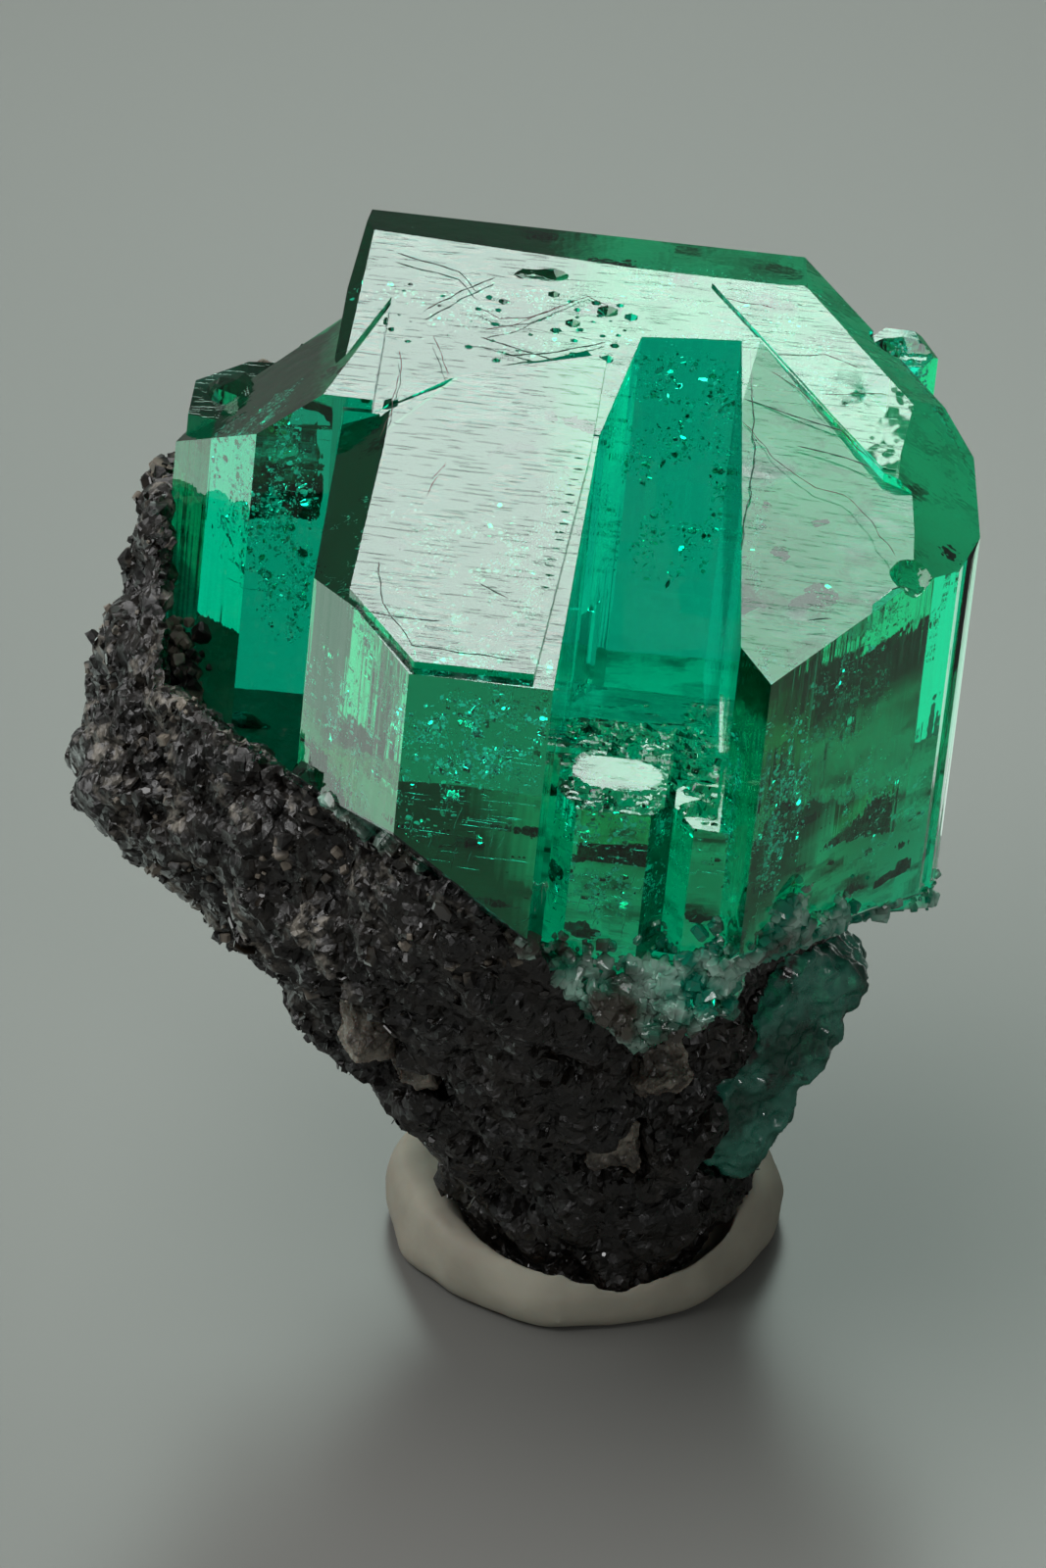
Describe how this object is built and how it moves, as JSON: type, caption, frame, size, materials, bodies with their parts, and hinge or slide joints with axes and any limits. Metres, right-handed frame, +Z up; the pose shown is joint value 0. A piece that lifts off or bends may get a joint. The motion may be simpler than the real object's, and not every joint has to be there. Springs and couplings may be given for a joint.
{
  "type": "emerald crystal specimen in matrix",
  "caption": "Clear green hexagonal beryl crystals grown together on a wedge of dark mica schist with pale grains, pressed into a low round foot of mineral putty.",
  "frame": {"origin": "centre of the putty foot's flat underside, on the surface it stands on", "axes": "+Z up out of the foot, -Y towards the specimen's display side, +X to the right seen from there"},
  "size_m": [0.0276, 0.0278, 0.0293],
  "materials": {
    "emerald": "clear saturated green crystal with flat, glossy faces",
    "flank_emerald": "cloudy deep green crystal, partly rough",
    "mica_schist": "rough black-brown schist with glinting mica",
    "feldspar": "pale grey-beige cleaved grains",
    "putty": "matte cream mineral putty"
  },
  "bodies": {
    "root": {"emerald_cluster": "emerald", "flank_emerald": "flank_emerald", "matrix_rock": "mica_schist", "feldspar_grain_left": "feldspar", "feldspar_grain_low": "feldspar", "feldspar_grain_tip": "feldspar", "feldspar_grain_foot": "feldspar", "feldspar_grain_rear": "feldspar", "putty_foot": "putty"}
  },
  "joints": []
}
